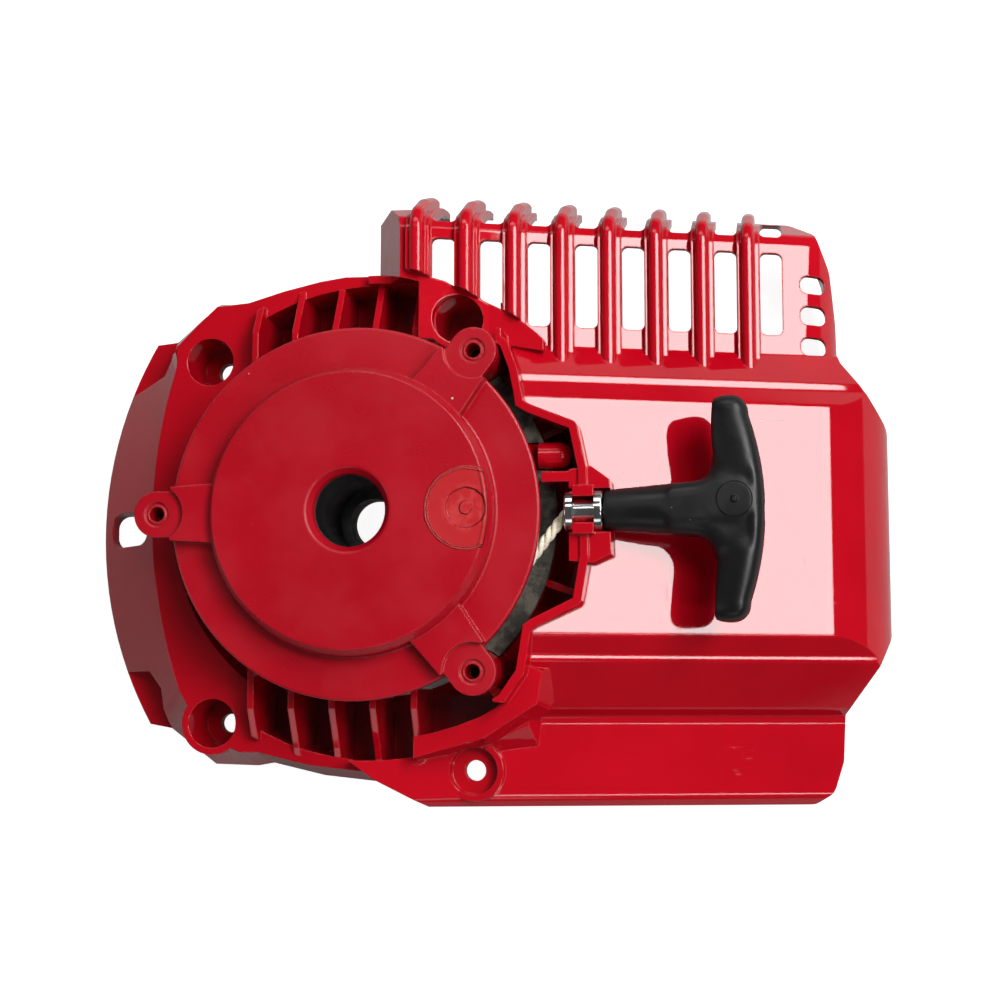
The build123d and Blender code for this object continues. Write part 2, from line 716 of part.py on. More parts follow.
# ================= rope reel =================
half = make_face(
    Polyline(
        (sleeve_r + running_gap, hub_low_z), (hub_r, hub_low_z), (hub_r, web_low_z),
        (ring_in_r, web_low_z), (ring_in_r, reel_low_z), (reel_r, reel_low_z),
        (reel_r, reel_low_z + flange_t), (groove_floor_r, reel_low_z + flange_t),
        (groove_floor_r, reel_top_z - flange_t), (reel_r, reel_top_z - flange_t),
        (reel_r, reel_top_z), (hub_r, reel_top_z), (hub_r, hub_top_z),
        (sleeve_r + running_gap, hub_top_z), close=True,
    )
)
reel = revolve(Plane.XZ * half, Axis.Z)
rib_h = web_low_z - reel_low_z
for i in range(reel_rib_count):
    rib = Pos((hub_r + ring_in_r) / 2, 0, reel_low_z + rib_h / 2)
    rib *= Box(ring_in_r - hub_r + 1, reel_rib_t, rib_h)
    reel += about_axis(i * 360 / reel_rib_count, rib)
pawl_angles = [pawl_first_angle + i * 360 / pawl_count for i in range(pawl_count)]
for angle in pawl_angles:
    x, y = polar(pawl_orbit, angle)
    reel += drum(x, y, boss_r, reel_low_z, web_low_z + 0.5)
    reel -= drum(x, y, pawl_pin_r, reel_low_z - 1, reel_top_z - 1)
knot_window_r = knot_r + small_gap
knot_orbit = ring_in_r - knot_window_r
window = drum(knot_orbit, 0, knot_window_r, reel_low_z - 1, reel_top_z + 1)
rope_way = Pos((knot_orbit + groove_floor_r + 1) / 2, 0, rope_z) * Rot(0, 90, 0)
window += rope_way * Cylinder(rope_d / 2 + small_gap, groove_floor_r + 1 - knot_orbit)
reel -= about_axis(knot_angle, window)
save("rope_reel", reel)

pins = [
    drum(*polar(pawl_orbit, angle), pawl_pin_r, pawl_low_z, reel_top_z - 1)
    for angle in pawl_angles
]
save("pawl_pins", Compound(children=pins))

# ================= rope =================
rope_r = rope_d / 2
bend_r = eye_mouth_r + rope_r + small_gap
bend_x = eye_x0 + eye_mouth_r
bend_y = -(eye_bore_r + eye_mouth_r)
rope_y = bend_y + bend_r
run_angle = math.degrees(math.asin((pitch_r + bend_r) / math.hypot(bend_x, bend_y)))
run_angle -= math.degrees(math.atan2(-bend_y, bend_x))
rope_plane = Plane(origin=(0, 0, rope_z))
wrap = CenterArc((0, 0, 0), pitch_r, run_angle - 90 - wrap_angle, wrap_angle)
bend = CenterArc((bend_x, bend_y, 0), bend_r, run_angle + 90, -run_angle)
run = Line(wrap @ 1, bend @ 0)
lead = Line(bend @ 1, (eye_x1 + free_gap / 2, rope_y))
route = rope_plane * Wire([wrap, run, bend, lead])
rope = sweep(Plane(origin=route @ 0, z_dir=route % 0) * Circle(rope_r), path=route)
save("rope_run", rope)
print("rope run", round(route.length, 1), "mm")

inner_wraps = pipe(
    0, 0, pitch_r - rope_r - small_gap, groove_floor_r + 0.02, rope_z - rope_r, rope_z + rope_r
)
save("rope_coil", inner_wraps)

stub_end = groove_floor_r - small_gap
knot = Pos(knot_orbit, 0, rope_z) * Sphere(knot_r)
stub = Pos((knot_orbit + stub_end) / 2, 0, rope_z) * Rot(0, 90, 0)
knot += stub * Cylinder(rope_r, stub_end - knot_orbit)
save("reel_knot", about_axis(knot_angle, knot))

# ================= pawls and their guide =================
def pawl_shape():
    tip_y = pawl_len
    half_w = pawl_w / 2
    body = make_face(
        Polyline(
            (-half_w, 0), (-half_w, 2.0), (-half_w + 1.2, tip_y - 3), (0.6, tip_y),
            (half_w, tip_y - 0.4), (half_w + 0.4, tip_y - 4), (half_w, 0), close=True,
        )
    )
    flat = body + Circle(half_w)
    pawl = extrude(flat, pawl_t)
    pawl += Pos(0, peg_arm, -guide_t / 2 + 0.1) * Cylinder(peg_r, guide_t + 0.2)
    pawl -= Cylinder(pawl_pin_r + running_gap, 40)
    return Pos(pawl_orbit, 0, pawl_low_z) * pawl


pawl_body = pawl_shape()
for i, angle in enumerate(pawl_angles):
    save(f"pawl_{i + 1}", about_axis(angle, pawl_body))


def track(points, r, z0, z1):
    room = Part()
    for x, y in points:
        room += drum(x, y, r, z0, z1)
    for (x0, y0), (x1, y1) in zip(points, points[1:]):
        length = math.hypot(x1 - x0, y1 - y0)
        turn = math.degrees(math.atan2(y1 - y0, x1 - x0))
        bar = Pos((x0 + x1) / 2, (y0 + y1) / 2, (z0 + z1) / 2) * Rot(0, 0, turn)
        room += bar * Box(length, 2 * r, z1 - z0)
    return room


peg_path = []
track_steps = 6
for i in range(track_steps + 1):
    share = i / track_steps
    p = math.radians(pawl_swing * share)
    g = math.radians(guide_turn * share)
    x = pawl_orbit + peg_arm * math.sin(p)
    y = peg_arm * math.cos(p)
    peg_path.append((x * math.cos(g) - y * math.sin(g), x * math.sin(g) + y * math.cos(g)))
guide = pipe(0, 0, guide_r, sleeve_r + running_gap, guide_low_z, guide_top_z)
peg_room = track(peg_path, peg_r + free_gap, guide_low_z - 1, guide_top_z + 1)
for angle in pawl_angles:
    guide -= about_axis(angle, peg_room)
    notch = Pos(guide_r + 4, 0, guide_low_z) * Cylinder(13, 8)
    guide -= about_axis(angle - 48, notch)
brake_r = sleeve_r + running_gap + wire_r
brake_z = guide_low_z - small_gap - wire_r
leg_x = brake_r + brake_leg
guide -= drum(leg_x, 0, wire_r + running_gap, 0, 60)
save("pawl_guide", guide)

ring_arc = Pos(0, 0, brake_z) * CenterArc((0, 0, 0), brake_r, 0, 300)
brake = sweep(Plane(origin=ring_arc @ 0, z_dir=ring_arc % 0) * Circle(wire_r), path=ring_arc)
brake += Pos((brake_r + leg_x) / 2, 0, brake_z) * Rot(0, 90, 0) * Cylinder(wire_r, brake_leg)
brake += drum(leg_x, 0, wire_r, brake_z, guide_top_z - small_gap)
brake += Pos(leg_x, 0, brake_z) * Sphere(wire_r)
save("friction_spring", brake)

springs = []
for angle in pawl_angles:
    coil_r = boss_r + pawl_wire_r + small_gap
    turns = Part()
    for i in range(3):
        z = reel_low_z + pawl_wire_r + small_gap + i * 1.9 * pawl_wire_r
        turns += Pos(pawl_orbit, 0, z) * Torus(coil_r, pawl_wire_r)
    springs.append(about_axis(angle, turns))
save("pawl_springs", Compound(children=springs))

# ================= seal ring =================
seal = pipe(0, 0, seal_out_r, seal_in_r, rib_top_z - seal_t, rib_top_z) & seal_side
for angle in lug_angles:
    seal -= drum(*polar(lug_orbit, angle), post_radius(angle) + free_gap, 0, 60)
seal -= Pos(boss_mid_x, boss_y, boss_z) * Box(4 * boss_len, 2 * (tube_boss_r + free_gap), 20)
save("seal_ring", seal)

# ================= rope guide =================
half = make_face(
    Polyline(
        (eye_x0, eye_bore_r + eye_mouth_r), (eye_x0, eye_r), (neck_x0 - 0.1, eye_r),
        (neck_x0 - 0.1, eye_groove_r), (neck_x1 + 0.1, eye_groove_r), (neck_x1 + 0.1, eye_r),
        (eye_x1, eye_r), (eye_x1, eye_bore_r + eye_mouth_r), (eye_x1 - 0.01, eye_bore_r),
        (eye_x0 + 0.01, eye_bore_r), close=True,
    )
)
for x in (eye_x0, eye_x1):
    half -= Pos(x + math.copysign(eye_mouth_r, eye_mid - x), eye_bore_r + eye_mouth_r) * (
        Circle(30) - Circle(eye_mouth_r)
    ) & Pos(x, 0) * Rectangle(2 * eye_mouth_r, 2 * (eye_bore_r + eye_mouth_r))
for x in (eye_x0, eye_x1):
    half = fillet(corner(half, x, eye_r), 0.7)
guide_eye = Pos(0, 0, rope_z) * revolve(half, Axis.X)
save("rope_guide", guide_eye)

# ================= handle =================
tip_x = bar_x + bar_w - bar_bow
tip_in_x = tip_x - bar_tip_w
side_points = [(0, stem_half0), (bar_x, stem_half1), (tip_in_x, bar_half), (tip_x, bar_half),
               (tip_x, bar_half - bar_tip_w / 2)]
bow = ThreePointArc(side_points[-1], (bar_x + bar_w, 0), (tip_x, bar_tip_w / 2 - bar_half))
upper = Polyline(*side_points)
lower = Polyline(*[(x, -y) for x, y in side_points])
tee = make_face([upper, bow, lower, Line(side_points[0], (0, -stem_half0))])
for x, y in side_points[1:4]:
    r = flare_r if y < bar_half else tip_r
    tee = fillet(corner(tee, x, y), r)
    tee = fillet(corner(tee, x, -y), r)
grip = extrude(tee, bar_t)
faces = grip.faces().filter_by(Axis.Z)
edges = faces[0].edges() + faces[1].edges()
grip = fillet(edges.filter_by(lambda e: (e @ 0.5).X > 0.5), bar_round)
stem = make_face(
    Polyline((0, 0), (0, stem_half0), (stem_round, stem_half1 - 0.6), (bar_x, bar_t), (bar_x, 0),
             close=True)
)
stem = Pos(0, 0, bar_t / 2) * revolve(stem, Axis.X)
stem += Pos(bar_x + bar_w / 2, 0, bar_t / 2) * Box(bar_w, 2 * bar_half, bar_t)
grip = grip & stem
grip = Pos(grip_x0, 0, rope_z - bar_t / 2) * grip
pocket = Pos(grip_x0 + pocket_x + 30, rope_y, rope_z) * Rot(0, 90, 0)
grip -= pocket * Cylinder(knot_pocket_r, 60)
hole = Pos(grip_x0 + 20, rope_y, rope_z) * Rot(0, 90, 0)
grip -= hole * Cylinder(rope_hole_r, 60)
save("handle_grip", grip)


def rod(x0, x1, r):
    return Pos((x0 + x1) / 2, rope_y, rope_z) * Rot(0, 90, 0) * Cylinder(r, x1 - x0)


seat_x = grip_x0 + pocket_x
knot_x = seat_x + knot_washer_t + small_gap + knot_r
save("knot_washer", rod(seat_x, seat_x + knot_washer_t, knot_pocket_r - small_gap)
     - rod(seat_x - 1, seat_x + 3, rope_hole_r))
end_knot = Pos(knot_x, rope_y, rope_z) * Sphere(knot_r)
save("handle_knot", end_knot - rod(grip_x0, knot_x - knot_r + 0.4, rope_r + 3))
save("handle_rope", rod(eye_x1 + free_gap / 2, knot_x - knot_r + 0.4, rope_r))
plug_x1 = grip_x0 + bar_x + bar_w - 0.2
plug = rod(plug_x1 - plug_t, plug_x1, knot_pocket_r - running_gap)
plug = fillet(plug.edges().filter_by(GeomType.CIRCLE).sort_by(Axis.X)[-1], 0.8)
save("handle_plug", plug)
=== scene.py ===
import bpy, bmesh, math
from mathutils import Vector, Matrix


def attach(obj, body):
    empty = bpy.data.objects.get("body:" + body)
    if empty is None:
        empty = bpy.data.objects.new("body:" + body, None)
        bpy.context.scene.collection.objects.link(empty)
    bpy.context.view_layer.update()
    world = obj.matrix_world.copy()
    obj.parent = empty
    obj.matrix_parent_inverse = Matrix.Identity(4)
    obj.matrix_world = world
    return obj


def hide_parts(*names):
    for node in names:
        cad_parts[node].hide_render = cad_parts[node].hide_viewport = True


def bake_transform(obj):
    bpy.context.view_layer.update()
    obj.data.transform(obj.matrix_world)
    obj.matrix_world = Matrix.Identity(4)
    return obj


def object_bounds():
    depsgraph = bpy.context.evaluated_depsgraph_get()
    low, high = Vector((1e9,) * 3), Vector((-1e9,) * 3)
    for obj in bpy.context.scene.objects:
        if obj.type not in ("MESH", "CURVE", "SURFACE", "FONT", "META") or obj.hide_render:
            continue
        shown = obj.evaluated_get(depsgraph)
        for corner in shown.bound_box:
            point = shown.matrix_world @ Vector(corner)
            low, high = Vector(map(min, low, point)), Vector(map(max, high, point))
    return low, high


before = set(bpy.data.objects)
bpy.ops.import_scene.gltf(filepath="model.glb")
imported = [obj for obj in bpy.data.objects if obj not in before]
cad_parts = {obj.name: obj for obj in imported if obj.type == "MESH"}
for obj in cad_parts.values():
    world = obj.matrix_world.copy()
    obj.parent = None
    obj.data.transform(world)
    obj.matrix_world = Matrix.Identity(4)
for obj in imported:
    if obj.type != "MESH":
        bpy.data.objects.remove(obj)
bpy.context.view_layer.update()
scene = bpy.context.scene
up = Vector((0, 0, 1))


cameraSetup = {
    "place": (0.1381, -0.0664, 0.6598),
    "forward": (-0.1440, 0.1125, -0.9832),
    "right": (0.9894, 0.0, -0.1449),
    "lens": 68.4,
    "sensor": 36,
    "near": 0.02,
    "far": 30,
}


def addCamera():
    data = bpy.data.cameras.new("workCamera")
    data.sensor_width = cameraSetup["sensor"]
    data.lens = cameraSetup["lens"]
    data.clip_start = cameraSetup["near"]
    data.clip_end = cameraSetup["far"]
    camera = bpy.data.objects.new("workCamera", data)
    scene.collection.objects.link(camera)
    back = -Vector(cameraSetup["forward"]).normalized()
    side = Vector(cameraSetup["right"])
    side = (side - back * side.dot(back)).normalized()
    turn = Matrix((side, back.cross(side), back)).transposed().to_4x4()
    camera.matrix_world = Matrix.Translation(cameraSetup["place"]) @ turn
    scene.camera = camera


def mathNode(tree, kind, first, second=None, clamp=False):
    node = tree.nodes.new("ShaderNodeMath")
    node.operation = kind
    node.use_clamp = clamp
    for place, value in enumerate((first, second)):
        if value is None:
            continue
        if isinstance(value, (int, float)):
            node.inputs[place].default_value = value
        else:
            tree.links.new(value, node.inputs[place])
    return node.outputs[0]


def times(tree, first, second, clamp=False):
    return mathNode(tree, "MULTIPLY", first, second, clamp)


def plus(tree, first, second, clamp=False):
    return mathNode(tree, "ADD", first, second, clamp)


studio = {
    "floorGap": 0.0006,
    "floorSize": 6.0,
    "floorColour": (0.42, 0.42, 0.42, 1),
    "floorRoughness": 0.9,
    "floorSpecular": 0.1,
    "floorGlow": 0.90,
    "shadeCentre": (-0.009, 0.004),
    "shadeOuter": (0.070, 0.073),
    "shadeInner": (0.034, 0.030),
    "worldColour": (1.0, 1.0, 1.0, 1),
    "worldLevel": 0.07,
}


def addFloor():
    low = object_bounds()[0][2] - studio["floorGap"]
    shape = bmesh.new()
    bmesh.ops.create_grid(shape, x_segments=1, y_segments=1, size=studio["floorSize"] / 2)
    bmesh.ops.translate(shape, verts=shape.verts, vec=(0, 0, low))
    mesh = bpy.data.meshes.new("studioFloor")
    shape.to_mesh(mesh)
    shape.free()
    floor = bpy.data.objects.new("studioFloor", mesh)
    scene.collection.objects.link(floor)
    paint = bpy.data.materials.new("paperFloor")
    paint.use_nodes = True
    tree = paint.node_tree
    shader = tree.nodes["Principled BSDF"]
    shader.inputs["Base Color"].default_value = studio["floorColour"]
    shader.inputs["Roughness"].default_value = studio["floorRoughness"]
    shader.inputs["Specular IOR Level"].default_value = studio["floorSpecular"]
    # white to the eye, grey to the lamps, and clear from below
    path = tree.nodes.new("ShaderNodeLightPath")
    seen = mathNode(tree, "MAXIMUM", path.outputs["Is Camera Ray"],
                    path.outputs["Is Transmission Ray"])
    # painted shadow: the floor's glow is cut in a ring under the starter, round its middle
    spot = tree.nodes.new("ShaderNodeTexCoord").outputs["Object"]
    reach = reachFrom(tree, spot, studio["shadeCentre"])
    lit = plus(tree, spread(tree, reach, *studio["shadeOuter"]),
               spread(tree, reach, *studio["shadeInner"]), clamp=True)
    glow = times(tree, times(tree, lit, seen), studio["floorGlow"])
    shader.inputs["Emission Color"].default_value = (1, 1, 1, 1)
    tree.links.new(glow, shader.inputs["Emission Strength"])
    side = tree.nodes.new("ShaderNodeNewGeometry")
    clear = mathNode(tree, "SUBTRACT", 1.0, side.outputs["Backfacing"])
    tree.links.new(clear, shader.inputs["Alpha"])
    mesh.materials.append(paint)


def addWorld():
    world = bpy.data.worlds.new("studioWorld")
    scene.world = world
    world.use_nodes = True
    tree = world.node_tree
    sky = tree.nodes["Background"]
    sky.inputs["Color"].default_value = studio["worldColour"]
    ray = tree.nodes.new("ShaderNodeLightPath")
    level = mathNode(tree, "MAXIMUM", ray.outputs["Is Camera Ray"], studio["worldLevel"])
    tree.links.new(level, sky.inputs["Strength"])


# name, place, aim, width, height, watts, shows in gloss
lamps = [
    ("keySoftbox", (0.93, 0.53, 1.16), (0.0, 0.53, 0.0), 1.14, 0.42, 23.0, True),
    ("ledgeStrip", (0.93, -0.49, 1.16), (0.0, -0.49, 0.0), 0.16, 0.42, 3.0, True),
    ("ribSoftbox", (0.55, 0.30, 1.25), (0.0, 0.0, 0.0), 0.35, 0.35, 4.5, False),
    ("backSoftbox", (0.0, 1.25, 0.85), (0.0, 0.0, 0.0), 1.3, 0.45, 5.0, True),
    ("eyeStrip", (-0.05, 0.55, 1.20), (0.07, 0.0, 0.0), 0.30, 0.12, 0.8, True),
    ("leftFill", (-1.25, -0.25, 0.9), (0.0, 0.0, 0.0), 0.5, 1.0, 1.6, True),
    ("frontFill", (0.1, -1.3, 0.8), (0.05, 0.0, 0.0), 1.2, 0.4, 2.0, True),
]


def addLamps():
    for name, place, aim, width, height, watts, inGloss in lamps:
        data = bpy.data.lights.new(name, "AREA")
        data.shape = "RECTANGLE"
        data.size = width
        data.size_y = height
        data.energy = watts
        lamp = bpy.data.objects.new(name, data)
        scene.collection.objects.link(lamp)
        lamp.location = place
        look = Vector(place) - Vector(aim)
        lamp.rotation_euler = look.to_track_quat("Z", "Y").to_euler()
        lamp.visible_camera = False
        lamp.visible_glossy = inGloss


def newGroup(name, inputs, outputs):
    group = bpy.data.node_groups.new(name, "ShaderNodeTree")
    for label, kind, value in inputs:
        socket = group.interface.new_socket(label, in_out="INPUT", socket_type=kind)
        socket.default_value = value
    for label, kind in outputs:
        group.interface.new_socket(label, in_out="OUTPUT", socket_type=kind)
    enter = group.nodes.new("NodeGroupInput")
    leave = group.nodes.new("NodeGroupOutput")
    return group, enter, leave


def spread(tree, value, low, high, lowOut=0.0, highOut=1.0):
    node = tree.nodes.new("ShaderNodeMapRange")
    node.interpolation_type = "SMOOTHSTEP"
    tree.links.new(value, node.inputs["Value"])
    node.inputs["From Min"].default_value = low
    node.inputs["From Max"].default_value = high
    node.inputs["To Min"].default_value = lowOut
    node.inputs["To Max"].default_value = highOut
    return node.outputs[0]


def noiseNode(tree, vector, scale, detail=3.0, rough=0.55):
    node = tree.nodes.new("ShaderNodeTexNoise")
    node.inputs["Scale"].default_value = scale
    node.inputs["Detail"].default_value = detail
    node.inputs["Roughness"].default_value = rough
    tree.links.new(vector, node.inputs["Vector"])
    return node.outputs["Fac"]


def patches(tree, vector, look, lowOut=0.0, highOut=1.0):
    # soft patches of noise; a look is its scale, detail, low and high limit
    scale, detail, low, high = look
    return spread(tree, noiseNode(tree, vector, scale, detail), low, high, lowOut, highOut)


def stretched(tree, vector, scale, turn=(0, 0, 0)):
    node = tree.nodes.new("ShaderNodeMapping")
    node.inputs["Scale"].default_value = scale
    node.inputs["Rotation"].default_value = turn
    tree.links.new(vector, node.inputs["Vector"])
    return node.outputs[0]


def vectorNode(tree, kind, first, second=None):
    node = tree.nodes.new("ShaderNodeVectorMath")
    node.operation = kind
    for place, value in enumerate((first, second)):
        if value is None:
            continue
        if isinstance(value, tuple):
            node.inputs[place].default_value = value
        else:
            tree.links.new(value, node.inputs[place])
    return node


def axisOf(tree, vector, label):
    parts = tree.nodes.new("ShaderNodeSeparateXYZ")
    tree.links.new(vector, parts.inputs[0])
    return parts.outputs[label]


def reachFrom(tree, vector, centre):
    # distance across the flat from an upright axis
    away = vectorNode(tree, "SUBTRACT", vector, (*centre, 0.0))
    flat = vectorNode(tree, "MULTIPLY", away.outputs[0], (1.0, 1.0, 0.0))
    return vectorNode(tree, "LENGTH", flat.outputs[0]).outputs["Value"]


wearAndHighlightShape = {
    "samples": 4,
    "flat": 0.985,
    "bent": 0.80,
    "broken": (240.0, 4, 0.35, 0.6),
}


def edgeGroup():
    group, enter, leave = newGroup(
        "edgeWearAndHighlight",
        [("Radius", "NodeSocketFloat", 0.0008), ("Amount", "NodeSocketFloat", 1.0),
         ("Vector", "NodeSocketVector", (0, 0, 0))],
        [("Edge", "NodeSocketFloat"), ("Rounded", "NodeSocketVector")],
    )
    rounded = group.nodes.new("ShaderNodeBevel")
    rounded.samples = wearAndHighlightShape["samples"]
    group.links.new(enter.outputs["Radius"], rounded.inputs["Radius"])
    flat = group.nodes.new("ShaderNodeNewGeometry")
    # the Edge mask marks rounded edges for edge wear and a painted highlight, both laid in as a
    # lighter tone
    dot = vectorNode(group, "DOT_PRODUCT", rounded.outputs[0], flat.outputs["Normal"])
    bent = spread(group, dot.outputs["Value"], wearAndHighlightShape["flat"], wearAndHighlightShape["bent"])
    broken = patches(group, enter.outputs["Vector"], wearAndHighlightShape["broken"])
    mask = times(group, times(group, bent, broken), enter.outputs["Amount"], clamp=True)
    group.links.new(mask, leave.inputs["Edge"])
    group.links.new(rounded.outputs[0], leave.inputs["Rounded"])
    return group


scuffShape = {
    "firstLines": ((60, 1400, 300), (0, 0, 0.5), (0.66, 0.72)),
    "secondLines": ((1200, 50, 300), (0, 0, 0.3), (0.67, 0.73)),
    "lineDetail": 2,
    "patch": (45.0, 3, 0.45, 0.65),
    "grains": (2600.0, 2, 0.62, 0.76),
    "smudge": (28.0, 5, 0.35, 0.7),
}


def scuffGroup():
    group, enter, leave = newGroup(
        "fineScuffs",
        [("Vector", "NodeSocketVector", (0, 0, 0)), ("Scale", "NodeSocketFloat", 1.0)],
        [("Scratches", "NodeSocketFloat"), ("Speckle", "NodeSocketFloat"),
         ("Smudge", "NodeSocketFloat")],
    )
    sized = vectorNode(group, "SCALE", enter.outputs["Vector"])
    group.links.new(enter.outputs["Scale"], sized.inputs["Scale"])
    place = sized.outputs[0]
    lines = []
    for key in ("firstLines", "secondLines"):
        stretch, turn, limits = scuffShape[key]
        drawn = stretched(group, place, stretch, turn)
        lines.append(spread(group, noiseNode(group, drawn, 1.0, scuffShape["lineDetail"]), *limits))
    both = mathNode(group, "MAXIMUM", *lines)
    patch = patches(group, place, scuffShape["patch"])
    group.links.new(times(group, both, patch), leave.inputs["Scratches"])
    group.links.new(patches(group, place, scuffShape["grains"]), leave.inputs["Speckle"])
    group.links.new(patches(group, place, scuffShape["smudge"]), leave.inputs["Smudge"])
    return group


fleckShape = {
    "leftOut": 0.72,
    "settled": (0.55, 0.9),
}


def fleckGroup():
    group, enter, leave = newGroup(
        "dustFlecks",
        [("Vector", "NodeSocketVector", (0, 0, 0)), ("Scale", "NodeSocketFloat", 90.0),
         ("Size", "NodeSocketFloat", 0.05)],
        [("Fleck", "NodeSocketFloat")],
    )
    cells = group.nodes.new("ShaderNodeTexVoronoi")
    group.links.new(enter.outputs["Vector"], cells.inputs["Vector"])
    group.links.new(enter.outputs["Scale"], cells.inputs["Scale"])
    near = mathNode(group, "LESS_THAN", cells.outputs["Distance"], enter.outputs["Size"])
    tone = group.nodes.new("ShaderNodeSeparateColor")
    group.links.new(cells.outputs["Color"], tone.inputs[0])
    few = mathNode(group, "GREATER_THAN", tone.outputs[0], fleckShape["leftOut"])
    facing = group.nodes.new("ShaderNodeNewGeometry")
    settled = spread(group, axisOf(group, facing.outputs["Normal"], "Z"), *fleckShape["settled"])
    mask = times(group, times(group, near, few), settled)
    group.links.new(mask, leave.inputs["Fleck"])
    return group


edgeWearAndHighlight = edgeGroup()
fineScuffs = scuffGroup()
dustFlecks = fleckGroup()
print("shader groups are ready")


def placeGroup(tree, group, vector, **values):
    node = tree.nodes.new("ShaderNodeGroup")
    node.node_tree = group
    tree.links.new(vector, node.inputs["Vector"])
    for label, value in values.items():
        node.inputs[label].default_value = value
    return node


def newMaterial(name):
    material = bpy.data.materials.new(name)
    material.use_nodes = True
    tree = material.node_tree
    shader = tree.nodes["Principled BSDF"]
    place = tree.nodes.new("ShaderNodeTexCoord")
    return material, tree, shader, place.outputs["Object"]


def mixColour(tree, factor, first, second):
    node = tree.nodes.new("ShaderNodeMix")
    node.data_type = "RGBA"
    tree.links.new(factor, node.inputs["Factor"])
    for label, value in (("A", first), ("B", second)):
        socket = [s for s in node.inputs if s.name == label and s.type == "RGBA"][0]
        if isinstance(value, tuple):
            socket.default_value = value
        else:
            tree.links.new(value, socket)
    return [s for s in node.outputs if s.type == "RGBA"][0]


def bumpNode(tree, height, distance, strength=1.0, normal=None):
    node = tree.nodes.new("ShaderNodeBump")
    node.inputs["Distance"].default_value = distance
    node.inputs["Strength"].default_value = strength
    tree.links.new(height, node.inputs["Height"])
    if normal is not None:
        tree.links.new(normal, node.inputs["Normal"])
    return node.outputs[0]


housingFinish = {
    "red": (0.460, 0.0020, 0.0105, 1),
    "deepRed": (0.380, 0.0010, 0.0080, 1),
    "wearAndHighlightTone": (0.60, 0.060, 0.060, 1),
    "dust": (0.55, 0.42, 0.36, 1),
    "cloud": (14.0, 3, 0.3, 0.7),
    "roughness": (0.020, 0.050),
    "scuffed": 0.12,
    "rubAndHighlight": {"Radius": 0.0007, "Amount": 0.55},
    "flecks": {"Scale": 70.0, "Size": 0.022},
    "wave": (60.0, 2),
    "waveDepth": (0.00003, 0.5),
    "scuffDepth": (0.00001, 0.4),
    "scratchMiddle": (0.1345, 0.0330),
    "scratchHalf": (0.0080, 0.00028),
    "scratchBroken": (900.0, 2, 0.42, 0.52),
    "scratchTone": (0.12, 0.0, 0.004, 1),
}


def scratchMask(tree, place):
    # one dark scratch along X on the cylinder cover
    f = housingFinish
    mask = patches(tree, place, f["scratchBroken"])
    for label, middle, half, edge in zip("XY", f["scratchMiddle"], f["scratchHalf"], (0.9, 0.5)):
        away = mathNode(tree, "SUBTRACT", axisOf(tree, place, label), middle)
        away = mathNode(tree, "ABSOLUTE", away)
        mask = times(tree, mask, spread(tree, away, half, half * edge))
    return mask


def makeHousingRed():
    material, tree, shader, place = newMaterial("glossRedNylon")
    f = housingFinish
    scuff = placeGroup(tree, fineScuffs, place, Scale=1.0)
    rubAndHighlight = placeGroup(tree, edgeWearAndHighlight, place, **f["rubAndHighlight"])
    fleck = placeGroup(tree, dustFlecks, place, **f["flecks"])
    colour = mixColour(tree, patches(tree, place, f["cloud"]), f["deepRed"], f["red"])
    # edges lighter: edge wear and a painted highlight
    colour = mixColour(tree, rubAndHighlight.outputs["Edge"], colour, f["wearAndHighlightTone"])
    colour = mixColour(tree, fleck.outputs["Fleck"], colour, f["dust"])
    colour = mixColour(tree, scratchMask(tree, place), colour, f["scratchTone"])
    tree.links.new(colour, shader.inputs["Base Color"])
    rough = spread(tree, scuff.outputs["Smudge"], 0.0, 1.0, *f["roughness"])
    rough = plus(tree, rough, times(tree, scuff.outputs["Scratches"], f["scuffed"]))
    tree.links.new(rough, shader.inputs["Roughness"])
    wave = noiseNode(tree, place, *f["wave"])
    normal = bumpNode(tree, wave, *f["waveDepth"], rubAndHighlight.outputs["Rounded"])
    normal = bumpNode(tree, scuff.outputs["Scratches"], *f["scuffDepth"], normal)
    tree.links.new(normal, shader.inputs["Normal"])
    return material


coverFinish = {
    "red": (0.385, 0.0010, 0.0100, 1),
    "deepRed": (0.350, 0.0008, 0.0085, 1),
    "wearAndHighlightTone": (0.55, 0.060, 0.060, 1),
    "dust": (0.62, 0.50, 0.44, 1),
    "cloud": (20.0, 4, 0.3, 0.7),
    "roughness": (0.27, 0.40),
    "rubAndHighlight": {"Radius": 0.0008, "Amount": 0.9},
    "flecks": {"Scale": 85.0, "Size": 0.030},
    "wear": (60.0, 4, 0.42, 0.75),
    "wearShares": (0.25, 0.9, 0.6),
    "rimWear": (0.030, 0.047),
    "grain": (900.0, 3),
    "grainDepth": (0.00003, 0.5),
    "scuffDepth": (0.00002, 0.5),
    "topHeight": (0.0588, 0.0594),
    "gateTone": (0.43, 0.014, 0.018, 1),
    "gateCentre": (0.039, 0.0),
    "gateRagged": (420.0, 4),
    "gateRaggedBy": 0.0010,
    "gateRadius": 0.0134,
    "dishRadius": 0.0074,
    "nubRadius": 0.0026,
    "chalk": (330.0, 5, 0.42, 0.60),
    "chalkShare": 0.45,
    "lipShare": 0.75,
    "markDepth": (0.0011, 1.0),
    "nubHeight": 0.8,
    "lipHeight": 0.8,
}


